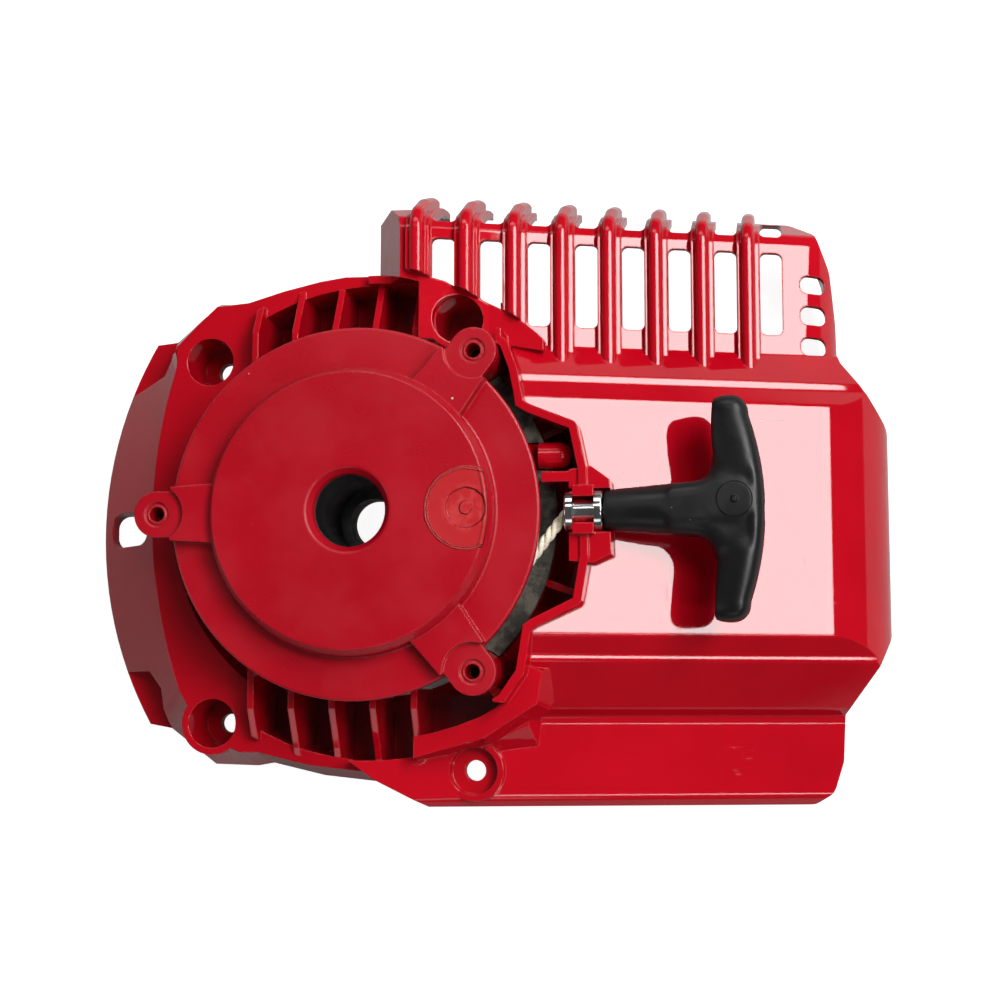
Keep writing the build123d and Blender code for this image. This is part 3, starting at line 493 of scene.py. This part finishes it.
def gateMark(tree, place, onTop):
    # the round gate mark: its lip, its tone, its chalky middle and its relief
    c = coverFinish
    ragged = times(tree, noiseNode(tree, place, *c["gateRagged"]), c["gateRaggedBy"])
    reach = plus(tree, reachFrom(tree, place, c["gateCentre"]), ragged)
    gate, dish, nub = c["gateRadius"], c["dishRadius"], c["nubRadius"]
    lip = mathNode(tree, "SUBTRACT", spread(tree, reach, gate - 0.0005, gate),
                   spread(tree, reach, gate + 0.0004, gate + 0.0010))
    lip = times(tree, lip, onTop)
    inside = times(tree, spread(tree, reach, gate + 0.0003, gate - 0.0003), onTop)
    chalk = times(tree, spread(tree, reach, dish + 0.0022, dish - 0.0010),
                  patches(tree, place, c["chalk"]))
    chalk = times(tree, times(tree, chalk, onTop), c["chalkShare"])
    relief = plus(tree, spread(tree, reach, dish - 0.0008, dish),
                  times(tree, spread(tree, reach, nub + 0.0003, nub - 0.0003), c["nubHeight"]))
    relief = plus(tree, times(tree, relief, inside), times(tree, lip, c["lipHeight"]))
    return lip, inside, chalk, relief


def makeCoverRed():
    material, tree, shader, place = newMaterial("satinRedNylon")
    c = coverFinish
    onTop = spread(tree, axisOf(tree, place, "Z"), *c["topHeight"])
    lip, inside, chalk, relief = gateMark(tree, place, onTop)
    scuff = placeGroup(tree, fineScuffs, place, Scale=1.3)
    rubAndHighlight = placeGroup(tree, edgeWearAndHighlight, place, **c["rubAndHighlight"])
    fleck = placeGroup(tree, dustFlecks, place, **c["flecks"])
    everywhere, atRim, atGate = c["wearShares"]
    rim = times(tree, spread(tree, reachFrom(tree, place, (0.0, 0.0)), *c["rimWear"]), onTop)
    patchy = plus(tree, times(tree, rim, atRim), everywhere)
    patchy = times(tree, patches(tree, place, c["wear"]), patchy)
    patchy = mathNode(tree, "MAXIMUM", patchy, times(tree, inside, atGate))
    worn = times(tree, scuff.outputs["Speckle"], patchy, clamp=True)
    colour = mixColour(tree, patches(tree, place, c["cloud"]), c["deepRed"], c["red"])
    colour = mixColour(tree, inside, colour, c["gateTone"])
    # chalk, lip and speckled wear are real marks; the edge mask lays in edge wear and a painted
    # highlight
    for mask in (chalk, times(tree, lip, c["lipShare"]), worn, rubAndHighlight.outputs["Edge"]):
        colour = mixColour(tree, mask, colour, c["wearAndHighlightTone"])
    colour = mixColour(tree, fleck.outputs["Fleck"], colour, c["dust"])
    tree.links.new(colour, shader.inputs["Base Color"])
    rough = spread(tree, scuff.outputs["Smudge"], 0.0, 1.0, *c["roughness"])
    tree.links.new(rough, shader.inputs["Roughness"])
    grain = noiseNode(tree, place, *c["grain"])
    normal = bumpNode(tree, grain, *c["grainDepth"], rubAndHighlight.outputs["Rounded"])
    normal = bumpNode(tree, relief, *c["markDepth"], normal)
    normal = bumpNode(tree, scuff.outputs["Scratches"], *c["scuffDepth"], normal)
    tree.links.new(normal, shader.inputs["Normal"])
    return material


blackFinish = {
    "grip": (0.0038, 0.0038, 0.0042, 1),
    "worn": (0.020, 0.020, 0.021, 1),
    "reel": (0.020, 0.020, 0.022, 1),
    "dust": (0.22, 0.21, 0.20, 1),
    "specular": 0.4,
    "rubAndHighlight": {"Radius": 0.0006, "Amount": 0.6},
    "flecks": {"Scale": 170.0, "Size": 0.035},
    "scratchShare": 0.6,
    "dustShare": 0.5,
    "grainDepth": (0.00008, 0.7),
    "scuffDepth": (0.00002, 0.5),
    "gripLook": ((0.36, 0.50), 500.0),
    "plugLook": ((0.35, 0.50), 700.0),
    "reelLook": ((0.40, 0.60), 600.0),
}
sprueMark = {
    "height": (0.0480, 0.0495),
    "pad": (0.0060, 0.0054),
    "padShare": 0.5,
    "nub": (0.0014, 0.0006),
    "depth": 0.0006,
}


def makeBlack(name, colour, look, sprue=None):
    material, tree, shader, place = newMaterial(name)
    b = blackFinish
    roughness, grainScale = look
    scuff = placeGroup(tree, fineScuffs, place, Scale=2.0)
    rubAndHighlight = placeGroup(tree, edgeWearAndHighlight, place, **b["rubAndHighlight"])
    fleck = placeGroup(tree, dustFlecks, place, **b["flecks"])
    scratched = times(tree, scuff.outputs["Scratches"], b["scratchShare"])
    tone = mixColour(tree, scratched, colour, b["worn"])
    # edges lighter: edge wear and a painted highlight
    tone = mixColour(tree, rubAndHighlight.outputs["Edge"], tone, b["worn"])
    dusty = times(tree, fleck.outputs["Fleck"], b["dustShare"])
    tone = mixColour(tree, dusty, tone, b["dust"])
    tree.links.new(tone, shader.inputs["Base Color"])
    shader.inputs["Specular IOR Level"].default_value = b["specular"]
    rough = spread(tree, scuff.outputs["Smudge"], 0.0, 1.0, *roughness)
    tree.links.new(rough, shader.inputs["Roughness"])
    grain = noiseNode(tree, place, grainScale, 3)
    normal = bumpNode(tree, grain, *b["grainDepth"], rubAndHighlight.outputs["Rounded"])
    normal = bumpNode(tree, scuff.outputs["Scratches"], *b["scuffDepth"], normal)
    if sprue:
        s = sprueMark
        reach = reachFrom(tree, place, sprue)
        mark = plus(tree, times(tree, spread(tree, reach, *s["pad"]), s["padShare"]),
                    spread(tree, reach, *s["nub"]))
        mark = times(tree, mark, spread(tree, axisOf(tree, place, "Z"), *s["height"]))
        normal = bumpNode(tree, mark, s["depth"], 1.0, normal)
    tree.links.new(normal, shader.inputs["Normal"])
    return material


metalFinish = {
    "chrome": (0.82, 0.83, 0.84, 1),
    "zinc": (0.56, 0.57, 0.58, 1),
    "blued": (0.24, 0.26, 0.30, 1),
    "sinter": (0.34, 0.34, 0.35, 1),
    "sleeve": (0.130, 0.130, 0.138, 1),
    "oxide": (0.030, 0.030, 0.032, 1),
    "rust": (0.16, 0.07, 0.035, 1),
    "shade": (120.0, 4, 0.35, 0.7),
    "shadeShare": 0.72,
    "spots": (210.0, 5, 0.62, 0.72),
    "smudged": 0.12,
    "lineDepth": (0.00003, 0.35),
}


def makeMetal(name, colour, roughness, brushed, tarnish=0.0):
    material, tree, shader, place = newMaterial(name)
    m = metalFinish
    scuff = placeGroup(tree, fineScuffs, place, Scale=3.0)
    dull = tuple(v * m["shadeShare"] for v in colour[:3]) + (1,)
    tone = mixColour(tree, patches(tree, place, m["shade"]), colour, dull)
    if tarnish:
        spots = times(tree, patches(tree, place, m["spots"]), tarnish)
        tone = mixColour(tree, spots, tone, m["rust"])
    tree.links.new(tone, shader.inputs["Base Color"])
    shader.inputs["Metallic"].default_value = 1.0
    rough = spread(tree, scuff.outputs["Smudge"], 0.0, 1.0, roughness, roughness + m["smudged"])
    tree.links.new(rough, shader.inputs["Roughness"])
    lines = noiseNode(tree, stretched(tree, place, brushed), 1.0, 3)
    tree.links.new(bumpNode(tree, lines, *m["lineDepth"]), shader.inputs["Normal"])
    return material


ropeShape = {
    "radius": 0.0019,
    "strands": 3,
    "strandShare": 0.50,
    "pitch": 0.0105,
    "finest": 0.0009,
    "wrapRadius": 0.0556,
    "wrapStart": -367.822,
    "wrapTurn": 330.0,
    "wrapSteps": 150,
    "bendCentre": (0.0723, -0.0052),
    "bendRadius": 0.0047,
    "bendAngle": 52.178,
    "bendSteps": 6,
    "runSteps": 12,
    "leadEnd": 0.0822,
    "axisY": -0.0005,
    "axisZ": 0.044,
    "pullStart": 0.0812,
    "pullEnd": 0.1215,
    "pullInset": 0.00003,
    "pullSides": 28,
    "pullSteps": 40,
}
softFinish = {
    "foam": (0.030, 0.027, 0.022, 1),
    "foamDust": (0.095, 0.085, 0.068, 1),
    "foamPatch": (130.0, 6, 0.7),
    "foamPatchRange": (0.42, 0.62),
    "foamRoughness": 0.92,
    "grit": (700.0, 5, 0.7),
    "gritDepth": (0.0006, 0.9),
    "rope": (0.82, 0.75, 0.60, 1),
    "ropeShade": (0.36, 0.28, 0.18, 1),
    "ropeRoughness": 0.55,
    "ropeSheen": 0.25,
    "yarns": ((2400, 2400, 2400), 4),
    "yarnRange": (0.30, 0.55),
    "yarnDark": 0.7,
    "yarnDepth": 0.00012,
    "yarnOnLay": 0.15,
    "layRange": (0.0, 0.45),
    "layDark": 0.8,
    "layDepth": 0.0007,
    "bumpStrength": 0.8,
    "soil": (160.0, 3, 0.45, 0.75),
    "soilShare": 0.35,
}


def makeFoam():
    material, tree, shader, place = newMaterial("dustyFoam")
    s = softFinish
    patch = spread(tree, noiseNode(tree, place, *s["foamPatch"]), *s["foamPatchRange"])
    tree.links.new(mixColour(tree, patch, s["foam"], s["foamDust"]), shader.inputs["Base Color"])
    shader.inputs["Roughness"].default_value = s["foamRoughness"]
    grit = noiseNode(tree, place, *s["grit"])
    tree.links.new(bumpNode(tree, grit, *s["gritDepth"]), shader.inputs["Normal"])
    return material


def strandPattern(tree, place):
    # strands laid round a straight rope along X
    r = ropeShape
    y = mathNode(tree, "SUBTRACT", axisOf(tree, place, "Y"), r["axisY"])
    z = mathNode(tree, "SUBTRACT", axisOf(tree, place, "Z"), r["axisZ"])
    around = times(tree, mathNode(tree, "ARCTAN2", z, y), float(r["strands"]))
    along = times(tree, axisOf(tree, place, "X"), math.tau * r["strands"] / r["pitch"])
    half = times(tree, plus(tree, around, along), 0.5)
    return mathNode(tree, "ABSOLUTE", mathNode(tree, "SINE", half))


def makeRope(name, straight=False):
    material, tree, shader, place = newMaterial(name)
    s = softFinish
    stretch, detail = s["yarns"]
    yarns = noiseNode(tree, stretched(tree, place, stretch), 1.0, detail)
    soil = patches(tree, place, s["soil"], 0.0, s["soilShare"])
    if straight:
        lay = strandPattern(tree, place)
        crowned = mathNode(tree, "POWER", lay, 0.5)
        height = plus(tree, crowned, times(tree, yarns, s["yarnOnLay"]))
        # painted shade in the grooves between strands
        dark = spread(tree, lay, *s["layRange"], s["layDark"], 0.0)
        depth = s["layDepth"]
    else:
        height = yarns
        dark = spread(tree, yarns, *s["yarnRange"], s["yarnDark"], 0.0)
        depth = s["yarnDepth"]
    shade = plus(tree, dark, soil, clamp=True)
    tree.links.new(mixColour(tree, shade, s["rope"], s["ropeShade"]), shader.inputs["Base Color"])
    shader.inputs["Roughness"].default_value = s["ropeRoughness"]
    shader.inputs["Sheen Weight"].default_value = s["ropeSheen"]
    tree.links.new(bumpNode(tree, height, depth, s["bumpStrength"]), shader.inputs["Normal"])
    return material


def paintNodes():
    b, m = blackFinish, metalFinish
    finishes = {
        "housing_red": makeHousingRed(),
        "cover_red": makeCoverRed(),
        "handle_black": makeBlack("satinBlackGrip", b["grip"], b["gripLook"],
                                  gripShape["padCentre"]),
        "plug_black": makeBlack("satinBlackPlug", b["grip"], b["plugLook"]),
        "reel_black": makeBlack("reelNylon", b["reel"], b["reelLook"]),
        "rope_cream": makeRope("ropeYarn"),
        "seal_grey": makeFoam(),
        "chrome_eye": makeMetal("polishedChrome", m["chrome"], 0.12, (3000, 200, 200)),
        "dark_steel": makeMetal("oiledTube", m["sleeve"], 0.30, (600, 600, 4000)),
        "bright_steel": makeMetal("zincPlate", m["zinc"], 0.26, (900, 900, 900), 0.15),
        "spring_steel": makeMetal("bluedStrip", m["blued"], 0.30, (500, 500, 3000), 0.2),
        "pawl_steel": makeMetal("sinteredSteel", m["sinter"], 0.42, (1500, 1500, 1500), 0.15),
    }
    oxide = makeMetal("blackOxideScrew", m["oxide"], 0.45, (900, 900, 900))
    for name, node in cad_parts.items():
        slots = node.data.materials
        for i, old in enumerate(slots):
            key = old.name.split(".")[0]
            slots[i] = oxide if name == "cover_screws" else finishes[key]
    return finishes


def finishPiece(shape, name, material):
    mesh = bpy.data.meshes.new(name)
    shape.to_mesh(mesh)
    shape.free()
    for face in mesh.polygons:
        face.use_smooth = True
    mesh.materials.append(material)
    piece = bpy.data.objects.new(name, mesh)
    scene.collection.objects.link(piece)
    return piece


def strandCurve(points, radius, material):
    data = bpy.data.curves.new("ropeStrand", "CURVE")
    data.dimensions = "3D"
    data.bevel_depth = radius
    data.bevel_resolution = 3
    data.use_fill_caps = True
    spline = data.splines.new("NURBS")
    spline.points.add(len(points) - 1)
    for spot, point in zip(spline.points, points):
        spot.co = (*point, 1)
    spline.order_u = 3
    spline.use_endpoint_u = True
    data.materials.append(material)
    strand = bpy.data.objects.new("ropeStrand", data)
    scene.collection.objects.link(strand)
    return strand


def onCircle(centre, radius, degrees):
    a = math.radians(degrees)
    return Vector((centre[0] + radius * math.cos(a), centre[1] + radius * math.sin(a),
                   ropeShape["axisZ"]))


def ropeRoute():
    # outer winding, straight run to the eyelet, bend over its lip, and out
    r = ropeShape
    wraps = r["wrapSteps"]
    route = [onCircle((0, 0), r["wrapRadius"], r["wrapStart"] + r["wrapTurn"] * i / wraps)
             for i in range(wraps + 1)]
    bends = r["bendSteps"]
    bend = [onCircle(r["bendCentre"], r["bendRadius"], 90 + r["bendAngle"] * (1 - i / bends))
            for i in range(bends + 1)]
    last, runs = route[-1], r["runSteps"]
    route += [last.lerp(bend[0], k / runs) for k in range(1, runs)]
    route += bend
    route.append(Vector((r["leadEnd"], r["axisY"], r["axisZ"])))
    return route


def strandPoints(fine, start, orbit):
    # one strand's line, wound round the rope's line from a start angle
    travelled = 0.0
    points = []
    for i, point in enumerate(fine):
        before = fine[max(i - 1, 0)]
        after = fine[min(i + 1, len(fine) - 1)]
        if i:
            travelled += (point - before).length
        side = (after - before).normalized().cross(up).normalized()
        turn = start + math.tau * travelled / ropeShape["pitch"]
        points.append(point + (side * math.cos(turn) + up * math.sin(turn)) * orbit)
    return points


def layRope(material):
    r = ropeShape
    route = ropeRoute()
    strandRadius = r["radius"] * r["strandShare"]
    fine = []
    for a, b in zip(route, route[1:]):
        count = max(1, round((b - a).length / r["finest"]))
        fine += [a.lerp(b, k / count) for k in range(count)]
    fine.append(route[-1])
    strands = []
    for i in range(r["strands"]):
        points = strandPoints(fine, math.tau * i / r["strands"], r["radius"] - strandRadius)
        strands.append(strandCurve(points, strandRadius, material))
    for other in bpy.context.selected_objects:
        other.select_set(False)
    for strand in strands:
        strand.select_set(True)
    bpy.context.view_layer.objects.active = strands[0]
    bpy.ops.object.convert(target="MESH")
    bpy.ops.object.join()
    rope = bpy.context.view_layer.objects.active
    rope.name = "starterRope"
    for face in rope.data.polygons:
        face.use_smooth = True
    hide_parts("rope_run")
    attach(rope, "housing")


def pullRope(material):
    # the length that comes out between the eyelet and the grip
    r = ropeShape
    shape = bmesh.new()
    bmesh.ops.create_circle(shape, cap_ends=True, segments=r["pullSides"],
                            radius=r["radius"] - r["pullInset"])
    place = Matrix.Translation((r["pullStart"], r["axisY"], r["axisZ"]))
    turn = Matrix.Rotation(math.radians(90), 4, "Y")
    bmesh.ops.transform(shape, matrix=place @ turn, verts=shape.verts)
    advance = (r["pullEnd"] - r["pullStart"]) / r["pullSteps"]
    faces = list(shape.faces)
    for step in range(r["pullSteps"]):
        out = bmesh.ops.extrude_face_region(shape, geom=faces)
        if step:
            bmesh.ops.delete(shape, geom=faces, context="FACES_KEEP_BOUNDARY")
        faces = [g for g in out["geom"] if isinstance(g, bmesh.types.BMFace)]
        moved = [g for g in out["geom"] if isinstance(g, bmesh.types.BMVert)]
        bmesh.ops.translate(shape, verts=moved, vec=(advance, 0, 0))
    bmesh.ops.recalc_face_normals(shape, faces=shape.faces)
    rope = finishPiece(shape, "pulledRope", material)
    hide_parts("handle_rope")
    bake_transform(rope)


gripShape = {
    "merge": 0.00001,
    "voxel": 0.0007,
    "middle": 0.044,
    "barStart": 0.105,
    "arm": (0.0085, 0.0150),
    "ridgeX": 0.1288,
    "ridgeStart": 0.012,
    "ridgeSlope": (0.10, 0.24),
    "pinch": 0.30,
    "pinchWidth": 0.0105,
    "flareRange": (0.008, 0.035),
    "flareLower": 0.0018,
    "flareUpper": 0.0042,
    "flareGain": 1.2,
    "padCentre": (0.1247, 0.0023),
    "padRadius": 0.0058,
    "padDrop": 0.0009,
    "padEdge": 0.0016,
    "padAbove": 0.003,
    "padStart": 0.100,
    "padRise": (0.104, 0.116),
    "padFall": (0.1285, 0.1315),
    "stemTurn": (0.085, 0.120),
    "smoothings": 3,
}


def smoothStep(value, low, high):
    t = min(max((value - low) / (high - low), 0.0), 1.0)
    return t * t * (3 - 2 * t)


def ridgeAt(y):
    g = gripShape
    return g["ridgeX"] - g["ridgeSlope"][y > 0] * max(abs(y) - g["ridgeStart"], 0.0)


def barPoint(point):
    # the arms get thinner and flare toward the stem side
    g = gripShape
    x, y, z = point
    inward = smoothStep(ridgeAt(y) - x, 0.0, g["pinchWidth"])
    thinned = 1 - g["pinch"] * smoothStep(abs(y), *g["arm"]) * inward
    start, end = g["flareRange"]
    outward = min(max((abs(y) - start) / (end - start), 0.0), 1.0)
    flare = g["flareUpper"] if y > 0 else g["flareLower"]
    moved = x - flare * outward * min(inward * g["flareGain"], 1.0)
    return Vector((moved, y, g["middle"] + (z - g["middle"]) * thinned))


def padFall(x, y):
    # how far the top drops round the raised pad at the middle of the bar
    g = gripShape
    px, py = g["padCentre"]
    stem = y - py * smoothStep(x, *g["stemTurn"])
    away = math.hypot(max(x - px, 0.0), stem) - g["padRadius"]
    near = smoothStep(x, *g["padRise"]) * (1 - smoothStep(x, *g["padFall"]))
    near *= 1 - smoothStep(abs(y), *g["arm"])
    return g["padDrop"] * smoothStep(away, 0.0, g["padEdge"]) * near


def makeGrip(material):
    g = gripShape
    shape = bmesh.new()
    shape.from_mesh(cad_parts["handle_grip"].data)
    bmesh.ops.remove_doubles(shape, verts=shape.verts, dist=g["merge"])
    rough = finishPiece(shape, "pullGrip", material)
    even = rough.modifiers.new("even", "REMESH")
    even.mode = "VOXEL"
    even.voxel_size = g["voxel"]
    bpy.context.view_layer.update()
    evened = rough.evaluated_get(bpy.context.evaluated_depsgraph_get())
    shape = bmesh.new()
    shape.from_mesh(evened.to_mesh())
    bpy.data.objects.remove(rough)
    for vert in shape.verts:
        x, y, z = vert.co
        if x > g["barStart"]:
            vert.co = barPoint(vert.co)
        if z > g["middle"] + g["padAbove"] and x > g["padStart"]:
            vert.co.z -= padFall(x, y)
    for turn in range(g["smoothings"]):
        bmesh.ops.smooth_vert(shape, verts=shape.verts, factor=0.5, use_axis_x=True,
                              use_axis_y=True, use_axis_z=True)
    grip = finishPiece(shape, "pullGrip", material)
    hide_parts("handle_grip")
    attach(grip, "handle")


addCamera()
addFloor()
addWorld()
addLamps()
print("stage is ready")
finishes = paintNodes()
print("materials are placed")
layRope(finishes["rope_cream"])
pullRope(makeRope("pulledRopeYarn", straight=True))
makeGrip(finishes["handle_black"])
print("rope and grip are made")

scene.view_settings.view_transform = "Standard"
